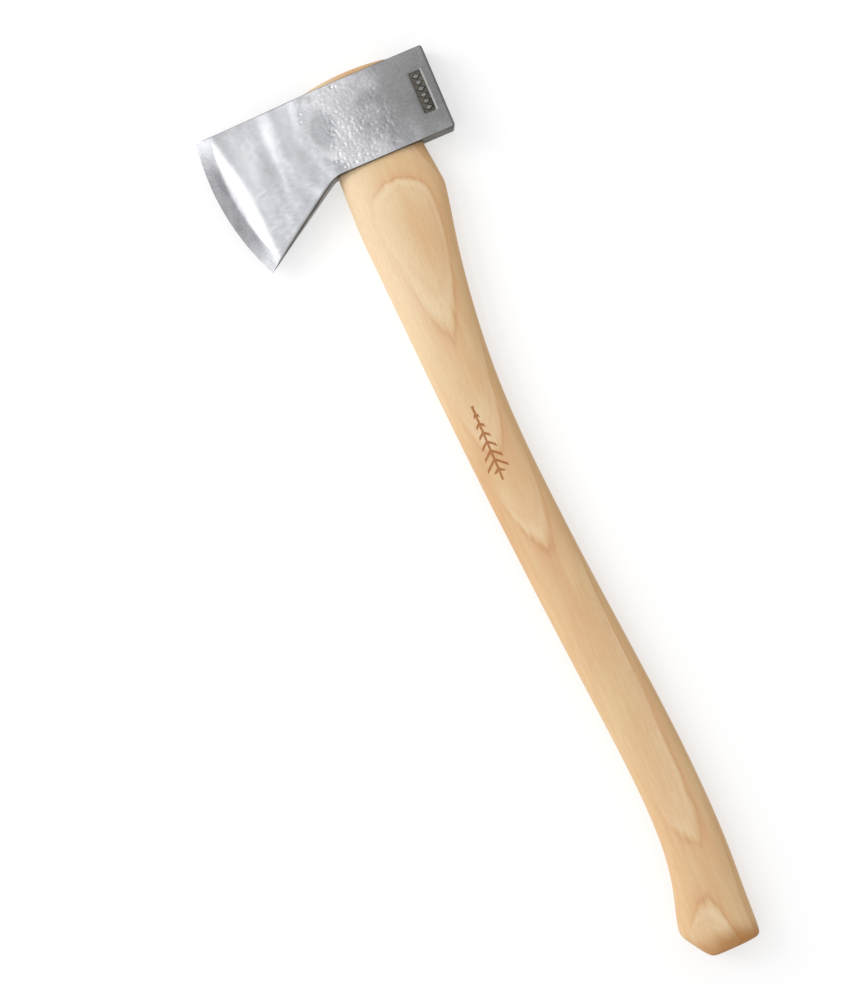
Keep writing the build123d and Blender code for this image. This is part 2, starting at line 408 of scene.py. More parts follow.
def forge_head(sizes):
    """The head without its eye and panel: a grid primitive wrapped round the section."""
    section = head_section()
    columns = head_columns(sizes)
    last_column, last_step = len(columns) - 1, len(section) - 1
    bpy.ops.mesh.primitive_grid_add(x_subdivisions=last_column, y_subdivisions=last_step, size=1)
    piece = named("head_forging")
    for vertex in piece.data.vertices:
        distance = columns[round((vertex.co.x + 0.5) * last_column)]
        share, side, push_y, push_z = section[round((vertex.co.y + 0.5) * last_step)]
        short = max(sizes.poll_round - distance, 0)
        inset = sizes.poll_round - math.sqrt(sizes.poll_round**2 - short**2)
        low = UNDERSIDE_Y
        for _ in range(12):  # a bowed column meets the beard where this settles
            low = underside(column_x(distance, low))
        low += inset
        high = TOP_Y - inset
        half = cheek_half(distance, low + share * (high - low)) - inset
        beard = smooth_step(distance, 84 * MM, 96 * MM)
        round_low = min(sizes.edge_round * (1 + 2.2 * beard), MOST_ROUND * half)
        round_high = min(sizes.edge_round, MOST_ROUND * half)
        turn = round_low if share < 0.5 else round_high
        y = low + round_low + share * (high - low - round_low - round_high) + turn * push_y
        z = side * (half - turn) + turn * push_z
        x = column_x(distance, y)
        face = math.copysign(1, side)
        # The unevenness fades out towards the thin edge and the poll
        thin = min(1, half / (4 * MM)) * smooth_step(distance, 1 * MM, 4 * MM)
        z -= side * sway(x, y, face, sizes) * thin
        if push_y == 0:
            from_edge = min(share, 1 - share) * (high - low)
            z -= side * pits(x, y, face, sizes) * thin * smooth_step(from_edge, 0, 1.5 * MM)
        vertex.co = (x, y, MID_Z + z)
    close_up(piece)
    return piece


def lozenge_panel(sizes):
    """The stamp's cutter: a rounded block with a broad chamfer, less the raised lozenges."""
    surface = HEAD_HIGH.z - 0.05 * MM
    # Depth of each level below the cheek, and how much wider than the panel it is
    levels = [
        (sizes.panel_depth, -2.8 * MM),
        (0.5 * sizes.panel_depth, -2.2 * MM),
        (0, 0),
        (-2 * MM, 8.8 * MM),
    ]
    bpy.ops.mesh.primitive_plane_add(size=1)
    stamp = named("panel_stamp")
    depth, grow = levels[0]
    wide, long = sizes.panel_width + grow, sizes.panel_length + grow
    for vertex in stamp.data.vertices:
        x = sizes.panel_x + vertex.co.x * wide
        vertex.co = (x, vertex.co.y * long, surface - depth)
    bpy.ops.object.mode_set(mode="EDIT")
    bpy.ops.mesh.select_all(action="SELECT")
    bpy.ops.mesh.bevel(offset=sizes.panel_corner, segments=5, affect="VERTICES")
    for next_depth, grow in levels[1:]:
        next_wide, next_long = sizes.panel_width + grow, sizes.panel_length + grow
        move = (0, 0, depth - next_depth)
        bpy.ops.mesh.extrude_region_move(TRANSFORM_OT_translate={"value": move})
        bpy.ops.transform.resize(
            value=(next_wide / wide, next_long / long, 1),
            center_override=(sizes.panel_x, 0, surface - next_depth),
        )
        depth, wide, long = next_depth, next_wide, next_long
    bpy.ops.object.mode_set(mode="OBJECT")
    close_up(stamp)
    pitch = (sizes.panel_length - PANEL_ENDS) / sizes.lozenges
    for i in range(sizes.lozenges):
        y = (i - (sizes.lozenges - 1) / 2) * pitch
        bpy.ops.mesh.primitive_cone_add(
            vertices=4, radius1=0.66, radius2=0.30, depth=2 * sizes.lozenge_relief,
            location=(sizes.panel_x, y, surface - sizes.panel_depth),
        )
        bpy.context.object.scale = (sizes.panel_width - PANEL_SIDES, 1.12 * pitch, 1)
        lozenge = named("lozenge")
        cut(stamp, lozenge)
        bpy.data.objects.remove(lozenge)
    return stamp


def select_edges(piece, wanted):
    """Selects the edges for which wanted(edge) holds, and nothing else."""
    mesh = bmesh.new()
    mesh.from_mesh(piece.data)
    for part in [*mesh.verts, *mesh.edges, *mesh.faces]:
        part.select = False
    for edge in mesh.edges:
        edge.select_set(bool(wanted(edge)))
    mesh.to_mesh(piece.data)
    mesh.free()


# ---------------------------------------------------------------- the haft and its wedges


def ring_tube(name, rings, around=16, squareness=2.4):
    """A tube of oval rings: a circle set to the first ring, then extruded ring by ring."""
    gain = 6 / (4 + 2 * math.cos(2 * math.pi / around))  # undoes what subdivision takes off
    y, front, back, thick = [value * MM for value in rings[0]]
    bpy.ops.mesh.primitive_circle_add(vertices=around, radius=1, rotation=(math.pi / 2, 0, 0))
    tube = named(name)
    for vertex in tube.data.vertices:
        c, s = vertex.co.x, vertex.co.z
        x = math.copysign(abs(c) ** (2 / squareness), c) * gain * (back - front) / 2
        z = math.copysign(abs(s) ** (2 / squareness), s) * gain * thick / 2
        vertex.co = (x + (front + back) / 2, y, z + MID_Z)
    bpy.ops.object.mode_set(mode="EDIT")
    bpy.ops.mesh.select_all(action="SELECT")
    for before, ring in zip(rings, rings[1:]):
        y0, front0, back0, thick0 = [value * MM for value in before]
        y, front, back, thick = [value * MM for value in ring]
        middle = (front + back) / 2
        move = (middle - (front0 + back0) / 2, y - y0, 0)
        bpy.ops.mesh.extrude_region_move(TRANSFORM_OT_translate={"value": move})
        bpy.ops.transform.resize(
            value=((back - front) / (back0 - front0), 1, thick / thick0),
            center_override=(middle, y, MID_Z),
        )
    bpy.ops.object.mode_set(mode="OBJECT")
    return tube


def cap_top(tube, rim_y, dome):
    """Closes the tube's upper end with shrinking rings that lie on the tongue's dressed dome."""
    last_y = rim_y

    def on_rim(edge):
        return len(edge.link_faces) == 1 and edge.verts[0].co.y > last_y - MERGE

    for scale, climbs in CAP_RINGS:
        rise = TONGUE_TOP - rim_y if climbs else 0
        select_edges(tube, on_rim)
        bpy.ops.object.mode_set(mode="EDIT")
        bpy.ops.mesh.extrude_region_move(TRANSFORM_OT_translate={"value": (0, rise, 0)})
        bpy.ops.transform.resize(value=(scale, 1, scale), center_override=(0, rim_y, MID_Z))
        bpy.ops.object.mode_set(mode="OBJECT")
        last_y += rise
    for vertex in tube.data.vertices:
        if vertex.co.y > rim_y + MERGE:
            vertex.co.y += math.sqrt(dome**2 - vertex.co.x**2) - dome


def haft_blank(sizes):
    """The haft with its tongue whole, before the kerf is sawn."""
    tube = ring_tube("haft_blank", TONGUE_RINGS + HAFT_RINGS)
    cap_top(tube, TONGUE_RINGS[0][0] * MM, sizes.dome)
    only(tube)
    bpy.ops.object.mode_set(mode="EDIT")
    bpy.ops.mesh.select_all(action="SELECT")
    bpy.ops.mesh.bisect(
        plane_co=(0, BUTT_Y, 0), plane_no=(0, -1, 0), use_fill=True, clear_outer=True
    )
    bpy.ops.mesh.select_all(action="SELECT")
    toe_normal = Vector((BUTT_Y - TOE_Y, TOE_FRONT_X - TOE_X, 0)).normalized()
    bpy.ops.mesh.bisect(
        plane_co=(TOE_FRONT_X, TOE_Y, 0), plane_no=toe_normal, use_fill=True, clear_outer=True
    )
    bpy.ops.object.mode_set(mode="OBJECT")
    close_up(tube)

    def on_butt(face):
        return face.normal.y < -0.999 or face.normal.dot(toe_normal) > 0.999

    def round_over(edge):
        return edge.verts[0].co.y < -0.5 and any(map(on_butt, edge.link_faces))

    select_edges(tube, round_over)
    bpy.ops.object.mode_set(mode="EDIT")
    bpy.ops.mesh.bevel(offset=sizes.butt_round, segments=2, affect="EDGES")
    bpy.ops.object.mode_set(mode="OBJECT")
    modify(tube, "SUBSURF", levels=3, render_levels=3)
    return tube


def wedge_block(name, top, tip, depth, width, centre_x, turn):
    """A wedge standing point down in the tongue, turned about the haft's length."""
    over = 4 * MM
    spread = top + (top - tip) / depth * over
    bpy.ops.mesh.primitive_cube_add(size=1)
    block = named(name)
    for vertex in block.data.vertices:
        up = vertex.co.y > 0
        across = math.copysign(spread / 2 if up else tip / 2, vertex.co.z)
        along = math.copysign(width / 2, vertex.co.x)
        x = along * math.cos(turn) - across * math.sin(turn)
        z = along * math.sin(turn) + across * math.cos(turn)
        vertex.co = (centre_x + x, TONGUE_TOP + (over if up else -depth), MID_Z + z)
    return block


def copy_of(piece, name):
    """A copy of a piece, with a mesh of its own."""
    twin = piece.copy()
    twin.data = piece.data.copy()
    twin.name = name
    twin.data.name = name
    bpy.context.collection.objects.link(twin)
    return twin


# ---------------------------------------------------------------- materials


def steel_material(colours):
    """Forged carbon steel: dark scale on the sides, with painted shade on the rounded edges, a
    pitted forging by the eye, a poll darkened by painted shade, a bevel painted darker in shade,
    and a belt-ground bit whose satin lines stretch the light."""
    material, tree, shader = new_material("forged_steel_belt_ground")
    place = add(tree, "TexCoord").outputs["Object"]
    split = add(tree, "SeparateXYZ", {0: place})
    x, y, z = split.outputs["X"], split.outputs["Y"], split.outputs["Z"]
    flat = add(tree, "CombineXYZ", {0: x, 1: y})
    from_poll = add(tree, "VectorMath", {0: flat, 1: (POLL_X, 0, 0)}, operation="DISTANCE")
    from_poll = from_poll.outputs["Value"]

    # Broad unevenness, one patch about 16 mm across
    patch = add(
        tree, "TexNoise",
        {"Vector": place, "Scale": 1 / (16 * MM), "Detail": 3.0, "Roughness": 0.55},
    )
    shift = add(tree, "MapRange", {0: patch, 1: 0.3, 2: 0.7, 3: -9 * MM, 4: 9 * MM})
    reach = add(tree, "Math", {0: from_poll, 1: shift}, operation="ADD")
    ground = add(tree, "MapRange", {0: reach, 1: GROUND_FROM, 2: GROUND_FULL}, **SMOOTH)
    hollow_middle = (HOLLOW_X, HOLLOW_Y, 0)
    off_place = add(tree, "VectorMath", {0: flat, 1: hollow_middle}, operation="SUBTRACT")
    hollow_halves = (HOLLOW_HALF_X, HOLLOW_HALF_Y, 1)
    off_place = add(tree, "VectorMath", {0: off_place, 1: hollow_halves}, operation="DIVIDE")
    off = add(tree, "VectorMath", {0: off_place}, operation="LENGTH").outputs["Value"]
    off = add(tree, "Math", {0: patch, 1: 0.9, 2: off}, operation="MULTIPLY_ADD")
    reached = add(tree, "MapRange", {0: off, 1: 1.05, 2: 1.75}, **SMOOTH)
    ground = add(tree, "Math", {0: ground, 1: reached}, operation="MULTIPLY")
    bevel = add(tree, "MapRange", {0: from_poll, 1: BEVEL_FROM, 2: BEVEL_FULL}, **SMOOTH)

    # Fine orange peel of the forging, about 1.2 mm
    peel = add(
        tree, "TexNoise",
        {"Vector": place, "Scale": 1 / (1.2 * MM), "Detail": 4.0, "Roughness": 0.6},
    )
    # Belt lines run from the eye to the edge. Real grit is finer: drawn 0.5 mm apart to show
    lengthwise = add(tree, "Mapping", {0: place, 3: (0.07, 1, 1)})
    lines = add(
        tree, "TexNoise",
        {"Vector": lengthwise, "Scale": 1 / (0.5 * MM), "Detail": 2.0, "Roughness": 0.5},
    )
    # Cloudy satin of the hand-finished bit, drawn out along the edge
    drawn = add(tree, "Mapping", {0: place, 3: (1, 0.45, 1)})
    cloud = add(
        tree, "TexNoise",
        {"Vector": drawn, "Scale": 1 / (9 * MM), "Detail": 4.0, "Roughness": 0.5},
    )

    # Painted shade: the poll is darkest, and the forging brightens towards the bit, for the light
    # falling off towards the poll
    forged = add(
        tree, "ValToRGB", {0: add(tree, "MapRange", {0: reach, 1: 0.0, 2: 100 * MM})},
        stops=[
            (0.08, colours.poll_shade_dark),
            (0.24, colours.poll_shade_light),
            (0.38, colours.forged_shade_dark),
            (0.56, colours.forged_mid),
            (0.72, colours.forged_light),
        ],
    )
    in_hollow = add(tree, "MapRange", {0: off, 1: 1.65, 2: 1.0}, **SMOOTH)
    forged = add(tree, "Mix", {0: in_hollow, 6: forged, 7: (*colours.hollow, 1)}, data_type="RGBA")
    mottle = add(tree, "MapRange", {0: peel, 1: 0.3, 2: 0.7, 3: 0.86, 4: 1.12})
    forged = add(tree, "VectorMath", {0: forged, 1: mottle}, operation="MULTIPLY")
    bit = add(
        tree, "ValToRGB", {0: cloud},
        stops=[(0.3, colours.bit_dark), (0.7, colours.bit_light)],
    )
    brushed = add(tree, "MapRange", {0: lines, 1: 0.3, 2: 0.7, 3: 0.93, 4: 1.06})
    bit = add(tree, "VectorMath", {0: bit, 1: brushed}, operation="MULTIPLY")
    # The bevel's darker grey is painted shade, standing in for the darker reflection it catches
    bevel_shade_tone = add(
        tree, "ValToRGB", {0: cloud},
        stops=[(0.32, colours.bevel_shade_dark), (0.68, colours.bevel_shade_light)],
    )
    # Painted shade: the bevel is lighter towards its toe and heel and darkest in its middle
    off_middle = add(tree, "Math", {0: y, 1: -CHEEK_CROWN_Y * MM}, operation="ADD")
    off_middle = add(tree, "Math", {0: off_middle}, operation="ABSOLUTE")
    shade_lift_at_ends = add(tree, "MapRange", {0: off_middle, 1: 25 * MM, 2: 43 * MM, 3: 0.0, 4: 0.9})
    bevel_shade_tone = add(tree, "Mix", {0: shade_lift_at_ends, 6: bevel_shade_tone, 7: bit}, data_type="RGBA")
    bevel_shade_tone = add(tree, "VectorMath", {0: bevel_shade_tone, 1: mottle}, operation="MULTIPLY")
    body = add(tree, "Mix", {0: ground, 6: forged, 7: bit}, data_type="RGBA")
    body = add(tree, "Mix", {0: bevel, 6: body, 7: bevel_shade_tone}, data_type="RGBA")

    # The sides, the underside and the floor of the stamp keep dark forge scale. The mask follows
    # the normal, so the rounded edges and the steep walls of pits, turned from the light, get it as
    # painted shade.
    normal = add(tree, "NewGeometry").outputs["Normal"]
    up = add(tree, "SeparateXYZ", {0: normal}).outputs["Z"]
    lean = add(tree, "Math", {0: up}, operation="ABSOLUTE")
    # The belt has cleaned the rounded edge along the top of the bit
    topside = add(tree, "MapRange", {0: y, 1: 0.0, 2: TOP_Y / 2, 3: 0.0, 4: 0.25})
    cleaned = add(tree, "Math", {0: topside, 1: ground, 2: lean}, operation="MULTIPLY_ADD")
    # Painted shade: the further the surface turns from facing up, the more of the dark scale colour
    # it gets
    side = add(tree, "MapRange", {0: cleaned, 1: 0.985, 2: 0.72}, **SMOOTH)
    off_poll = add(tree, "MapRange", {0: x, 1: POLL_X - 0.4 * MM, 2: POLL_X - 1.2 * MM})
    side = add(tree, "Math", {0: side, 1: off_poll}, operation="MULTIPLY")
    sunk = add(tree, "MapRange", {0: z, 1: HEAD_HIGH.z - 0.55 * MM, 2: HEAD_HIGH.z - 0.85 * MM})
    above = add(tree, "Math", {0: z, 1: MID_Z}, operation="GREATER_THAN")
    in_panel = add(tree, "Math", {0: x, 1: 35 * MM}, operation="GREATER_THAN")
    sunk = add(tree, "Math", {0: sunk, 1: above}, operation="MULTIPLY")
    sunk = add(tree, "Math", {0: sunk, 1: in_panel}, operation="MULTIPLY")
    scale_and_shade = add(tree, "Math", {0: side, 1: sunk}, operation="MAXIMUM")
    scale = add(
        tree, "ValToRGB", {0: cloud},
        stops=[(0.3, colours.scale_dark), (0.7, colours.scale_light)],
    )
    body = add(tree, "Mix", {0: scale_and_shade, 6: body, 7: scale}, data_type="RGBA")
    tree.links.new(body.outputs[2], shader.inputs["Base Color"])
    shader.inputs["Metallic"].default_value = 1.0

    rough = add(tree, "MapRange", {0: peel, 1: 0.3, 2: 0.7, 3: 0.31, 4: 0.43})
    satin = add(tree, "MapRange", {0: lines, 1: 0.3, 2: 0.7, 3: 0.19, 4: 0.25})
    rough = add(tree, "Mix", {0: ground, 2: rough, 3: satin}, data_type="FLOAT")
    rough = add(tree, "Math", {0: scale_and_shade, 1: 0.15, 2: rough}, operation="MULTIPLY_ADD")
    rough = add(tree, "Math", {0: bevel, 1: 0.07, 2: rough}, operation="MULTIPLY_ADD")
    tree.links.new(rough.outputs[0], shader.inputs["Roughness"])

    peel_share = add(tree, "MapRange", {0: ground, 1: 0.0, 2: 1.0, 3: 1.0, 4: 0.0})
    peel_height = add(tree, "Math", {0: peel, 1: peel_share}, operation="MULTIPLY")
    bump = add(tree, "Bump", {"Height": peel_height, "Strength": 0.5, "Distance": 0.12 * MM})
    line_height = add(tree, "Math", {0: lines, 1: ground}, operation="MULTIPLY")
    bump = add(
        tree, "Bump",
        {"Height": line_height, "Strength": 0.35, "Distance": 0.04 * MM, "Normal": bump},
    )
    tree.links.new(bump.outputs[0], shader.inputs["Normal"])
    return material


def wood_material(colours, sizes):
    """Flat-sawn hickory, sanded and oiled: pale, with soft peach growth rings that close in long
    arches where the curved haft cuts through them, and browner end grain."""
    material, tree, shader = new_material("hickory_sanded_oiled")
    place = add(tree, "TexCoord").outputs["Object"]
    split = add(tree, "SeparateXYZ", {0: place})
    x, y, z = split.outputs["X"], split.outputs["Y"], split.outputs["Z"]

    # Height of the growth rings under the middle of the haft, from the butt, 0, to the tongue, 1
    along = add(tree, "MapRange", {0: y, 1: BUTT_Y, 2: TONGUE_TOP})
    butt, span = BUTT_Y / MM, (TONGUE_TOP - BUTT_Y) / MM
    points = [((at - butt) / span, (rings + RING_LOW) / RING_SPAN) for at, rings in RING_HEIGHTS]
    height = add(tree, "FloatCurve", {1: along}, points=points)
    height = add(tree, "Math", {0: height, 1: RING_SPAN, 2: -RING_LOW}, operation="MULTIPLY_ADD")
    # How many rings they climb towards the front in a millimetre
    points = [((at - butt) / span, 0.5 + climb / CLIMB_SPAN) for at, climb in RING_CLIMBS]
    climb = add(tree, "FloatCurve", {1: along}, points=points)
    steepest = CLIMB_SPAN / 2 / MM
    climb = add(tree, "MapRange", {0: climb, 3: steepest, 4: -steepest})
    climbed = add(tree, "Math", {0: x, 1: climb}, operation="MULTIPLY")
    next_ring_z = RING_TOP_Z + sizes.ring_pitch
    depth = add(tree, "MapRange", {0: z, 1: RING_TOP_Z, 2: next_ring_z}, clamp=False)
    # Slow waves, and the small waver of the fibres
    slow_place = add(tree, "Mapping", {0: place, 3: (1, 0.3, 1)})
    slow = add(tree, "TexNoise", {"Vector": slow_place, "Scale": 1 / (22 * MM), "Detail": 2.0})
    slow = add(tree, "Math", {0: slow, 1: 0.5}, operation="SUBTRACT")
    small_place = add(tree, "Mapping", {0: place, 3: (1, 0.12, 1)})
    small = add(tree, "TexNoise", {"Vector": small_place, "Scale": 1 / (4 * MM), "Detail": 2.0})
    small = add(tree, "Math", {0: small, 1: 0.5}, operation="SUBTRACT")
    rings = add(tree, "Math", {0: height, 1: climbed}, operation="ADD")
    rings = add(tree, "Math", {0: rings, 1: depth}, operation="ADD")
    rings = add(tree, "Math", {0: slow, 1: 0.3, 2: rings}, operation="MULTIPLY_ADD")
    rings = add(tree, "Math", {0: small, 1: 0.12, 2: rings}, operation="MULTIPLY_ADD")
    fibre_place = add(tree, "Mapping", {0: place, 3: (1, 0.03, 1)})
    fibre = add(
        tree, "TexNoise",
        {"Vector": fibre_place, "Scale": 1 / (0.9 * MM), "Detail": 3.0, "Roughness": 0.6},
    )
    frayed = add(tree, "MapRange", {0: fibre, 1: 0.3, 2: 0.7, 3: -0.014, 4: 0.014})
    rings = add(tree, "Math", {0: rings, 1: frayed}, operation="ADD")

    ring = add(tree, "Math", {0: rings}, operation="FRACT")
    tone = add(
        tree, "ValToRGB", {0: ring},
        stops=[
            (0.0, colours.wood_tan),
            (0.06, colours.wood_pale),
            (0.40, colours.wood_cream),
            (0.75, colours.wood_tan),
            (0.91, colours.wood_peach),
            (0.96, colours.wood_line),
            (1.0, colours.wood_tan),
        ],
    )
    # Three fainter lines in each ring
    fine = add(tree, "Math", {0: rings, 1: 3.0, 2: 0.35}, operation="MULTIPLY_ADD")
    fine = add(tree, "Math", {0: fine}, operation="FRACT")
    fine = add(tree, "MapRange", {0: fine, 1: 0.7, 2: 0.97, 3: 0.0, 4: 0.27}, **SMOOTH)
    tone = add(tree, "Mix", {0: fine, 6: tone, 7: (*colours.wood_peach, 1)}, data_type="RGBA")

    # The rings show most where the saw cut them flat; the quarter-sawn sides are plainer
    normal = add(tree, "NewGeometry").outputs["Normal"]
    facing = add(tree, "SeparateXYZ", {0: normal})
    level = add(tree, "Math", {0: facing.outputs["Z"]}, operation="ABSOLUTE")
    plain = add(tree, "MapRange", {0: level, 1: 0.55, 2: 0.98, 3: 0.85, 4: 0.05}, **SMOOTH)
    front_side = add(tree, "MapRange", {0: facing.outputs["X"], 1: -0.08, 2: -0.4, 3: 0.0, 4: 0.85})
    plain = add(tree, "Math", {0: plain, 1: front_side}, operation="MAXIMUM")
    tone = add(tree, "Mix", {0: plain, 6: tone, 7: (*colours.wood_even, 1)}, data_type="RGBA")

    # Broad warm and pale areas
    area_place = add(tree, "Mapping", {0: place, 3: (1, 0.35, 1)})
    area = add(tree, "TexNoise", {"Vector": area_place, "Scale": 1 / (26 * MM), "Detail": 3.0})
    area = add(tree, "MapRange", {0: area, 1: 0.38, 2: 0.66, 3: 0.0, 4: 0.6})
    tone = add(tree, "Mix", {0: area, 6: tone, 7: (*colours.wood_warm, 1)}, data_type="RGBA")
    streak_place = add(tree, "Mapping", {0: place, 1: (0.1, 0.0, 0.0), 3: (1, 0.05, 1)})
    streak = add(tree, "TexNoise", {"Vector": streak_place, "Scale": 1 / (3.2 * MM), "Detail": 3.0})
    streak = add(tree, "MapRange", {0: streak, 1: 0.42, 2: 0.68, 3: 0.0, 4: 0.22}, **SMOOTH)
    tone = add(tree, "Mix", {0: streak, 6: tone, 7: (*colours.wood_streak, 1)}, data_type="RGBA")

    # Pale sapwood along the front by the head, and warmer, darker painted shade on the faces turned
    # to the back
    by_head = add(tree, "MapRange", {0: y, 1: -240 * MM, 2: -90 * MM}, **SMOOTH)
    front = add(tree, "MapRange", {0: x, 1: 6 * MM, 2: -24 * MM, 3: 0.0, 4: 0.75}, **SMOOTH)
    sap = add(tree, "Math", {0: by_head, 1: front}, operation="MULTIPLY")
    tone = add(tree, "Mix", {0: sap, 6: tone, 7: (*colours.wood_sap, 1)}, data_type="RGBA")
    # Painted shade: the more a face turns to the back, away from the key light, the warmer and
    # darker it gets
    back_shade = add(tree, "MapRange", {0: facing.outputs["X"], 1: 0.2, 2: 0.85, 3: 0.0, 4: 0.5})
    tone = add(tree, "Mix", {0: back_shade, 6: tone, 7: (*colours.wood_back_shade, 1)}, data_type="RGBA")

    # The front of the waist is darker
    from_waist = add(tree, "Math", {0: y, 1: WAIST_Y}, operation="SUBTRACT")
    from_waist = add(tree, "Math", {0: from_waist}, operation="ABSOLUTE")
    darker_waist_front = add(tree, "MapRange", {0: from_waist, 1: 62 * MM, 2: 18 * MM}, **SMOOTH)
    forward = add(tree, "MapRange", {0: x, 1: -9 * MM, 2: -19 * MM, 3: 0.0, 4: 0.45}, **SMOOTH)
    darker_waist_front = add(tree, "Math", {0: darker_waist_front, 1: forward}, operation="MULTIPLY")
    tone = add(tree, "Mix", {0: darker_waist_front, 6: tone, 7: (*colours.wood_line, 1)}, data_type="RGBA")

    # Fibres: fine streaks along the haft, just under a millimetre apart
    fibre_tone = add(tree, "MapRange", {0: fibre, 1: 0.25, 2: 0.75, 3: 0.955, 4: 1.035})
    tone = add(tree, "VectorMath", {0: tone, 1: fibre_tone}, operation="MULTIPLY")
    # Open pores: short dark strokes, drawn 0.4 mm wide to show
    pore_place = add(tree, "Mapping", {0: place, 3: (1, 0.07, 1)})
    pores = add(tree, "TexNoise", {"Vector": pore_place, "Scale": 1 / (0.4 * MM), "Detail": 1.0})
    pores = add(tree, "MapRange", {0: pores, 1: 0.60, 2: 0.74, 3: 0.0, 4: 0.42})
    tone = add(tree, "Mix", {0: pores, 6: tone, 7: (*colours.wood_line, 1)}, data_type="RGBA")

    # End grain drinks the oil: the butt and its rounded edges are browner, the tongue's top less so
    end = add(tree, "Math", {0: facing.outputs["Y"]}, operation="ABSOLUTE")
    end = add(tree, "MapRange", {0: end, 1: 0.3, 2: 0.85}, **SMOOTH)
    drink = add(tree, "MapRange", {0: y, 1: -0.5, 2: 0.0, 3: 0.85, 4: 0.3})
    end = add(tree, "Math", {0: end, 1: drink}, operation="MULTIPLY")
    # The stain creeps unevenly up the knob, and is stronger towards its back
    crept = add(tree, "Math", {0: slow, 1: 26 * MM, 2: y}, operation="MULTIPLY_ADD")
    stain = add(tree, "MapRange", {0: crept, 1: -561 * MM, 2: -577 * MM}, **SMOOTH)
    strength = add(tree, "MapRange", {0: x, 1: -10 * MM, 2: 12 * MM, 3: 0.6, 4: 0.8}, **SMOOTH)
    stain = add(tree, "Math", {0: stain, 1: strength}, operation="MULTIPLY")
    end = add(tree, "Math", {0: end, 1: stain}, operation="MAXIMUM")
    tone = add(tree, "Mix", {0: end, 6: tone, 7: (*colours.wood_end, 1)}, data_type="RGBA")

    # The branded mark: a little fir, its top towards the head, with edges frayed by the burn
    edge_noise = add(tree, "TexNoise", {"Vector": place, "Scale": 1 / (1.0 * MM), "Detail": 1.0})
    fray = add(tree, "MapRange", {0: edge_noise, 3: -0.35 * MM, 4: 0.35 * MM})
    down = add(tree, "Math", {0: sizes.mark_top, 1: y}, operation="SUBTRACT")
    aside = add(tree, "Math", {0: x, 1: sizes.mark_x}, operation="SUBTRACT")
    aside = add(tree, "Math", {0: aside}, operation="ABSOLUTE")
    aside = add(tree, "Math", {0: aside, 1: fray}, operation="ADD")
    droop = add(tree, "Math", {0: aside, 1: -BRANCH_DROOP, 2: down}, operation="MULTIPLY_ADD")
    branch = add(tree, "Math", {0: droop, 1: sizes.mark_pitch}, operation="PINGPONG")
    branch = add(tree, "MapRange", {0: branch, 1: BRANCH_THICK, 2: BRANCH_THICK - BURN_FADE})
    spread = add(tree, "MapRange", {0: down, 1: 0.0, 2: 44 * MM, 3: 0.8 * MM, 4: sizes.mark_half})
    inside = add(tree, "Math", {0: spread, 1: aside}, operation="SUBTRACT")
    inside = add(tree, "MapRange", {0: inside, 1: -0.2 * MM, 2: 0.3 * MM})
    above_foot = add(tree, "MapRange", {0: down, 1: BRANCHES_LENGTH, 2: BRANCHES_LENGTH - 0.6 * MM})
    branch = add(tree, "Math", {0: branch, 1: inside}, operation="MULTIPLY")
    branch = add(tree, "Math", {0: branch, 1: above_foot}, operation="MULTIPLY")
    stem = add(tree, "MapRange", {0: aside, 1: STEM_THICK, 2: STEM_THICK - BURN_FADE})
    stem_end = add(tree, "MapRange", {0: down, 1: STEM_LENGTH, 2: STEM_LENGTH - 0.5 * MM})
    stem = add(tree, "Math", {0: stem, 1: stem_end}, operation="MULTIPLY")
    mark = add(tree, "Math", {0: branch, 1: stem}, operation="MAXIMUM")
    below_tip = add(tree, "MapRange", {0: down, 1: 0.0, 2: 0.6 * MM})
    mark = add(tree, "Math", {0: mark, 1: below_tip}, operation="MULTIPLY")
    upper = add(tree, "Math", {0: z, 1: MID_Z}, operation="GREATER_THAN")
    mark = add(tree, "Math", {0: mark, 1: upper}, operation="MULTIPLY")
    burn = add(tree, "MapRange", {0: fibre, 1: 0.3, 2: 0.7, 3: 0.82, 4: 1.0})
    burn = add(tree, "Math", {0: mark, 1: burn}, operation="MULTIPLY")
    tone = add(tree, "Mix", {0: burn, 6: tone, 7: (*colours.brand_brown, 1)}, data_type="RGBA")
    tree.links.new(tone.outputs[2], shader.inputs["Base Color"])

    rough = add(tree, "MapRange", {0: fibre, 1: 0.3, 2: 0.7, 3: 0.44, 4: 0.56})
    tree.links.new(rough.outputs[0], shader.inputs["Roughness"])
    shader.inputs["IOR"].default_value = 1.45
    sunk = add(tree, "Math", {0: mark, 1: -3.0, 2: fibre}, operation="MULTIPLY_ADD")
    bump = add(tree, "Bump", {"Height": sunk, "Strength": 0.4, "Distance": 0.04 * MM})
    tree.links.new(bump.outputs[0], shader.inputs["Normal"])
    return material


def wedge_wood_material(colours):
    """Poplar wedge, sawn and dressed flush: darker than the haft, its end grain in fine rows."""
    material, tree, shader = new_material("poplar_sawn")
    place = add(tree, "TexCoord").outputs["Object"]
    rows_place = add(tree, "Mapping", {0: place, 3: (0.35, 0.1, 1)})
    rows = add(tree, "TexNoise", {"Vector": rows_place, "Scale": 1 / (0.7 * MM), "Detail": 3.0})
    tone = add(
        tree, "ValToRGB", {0: rows},
        stops=[(0.3, colours.wedge_dark), (0.7, colours.wedge_light)],
    )
    tree.links.new(tone.outputs[0], shader.inputs["Base Color"])
    shader.inputs["Roughness"].default_value = 0.7
    bump = add(tree, "Bump", {"Height": rows, "Strength": 0.5, "Distance": 0.1 * MM})
    tree.links.new(bump.outputs[0], shader.inputs["Normal"])
    return material


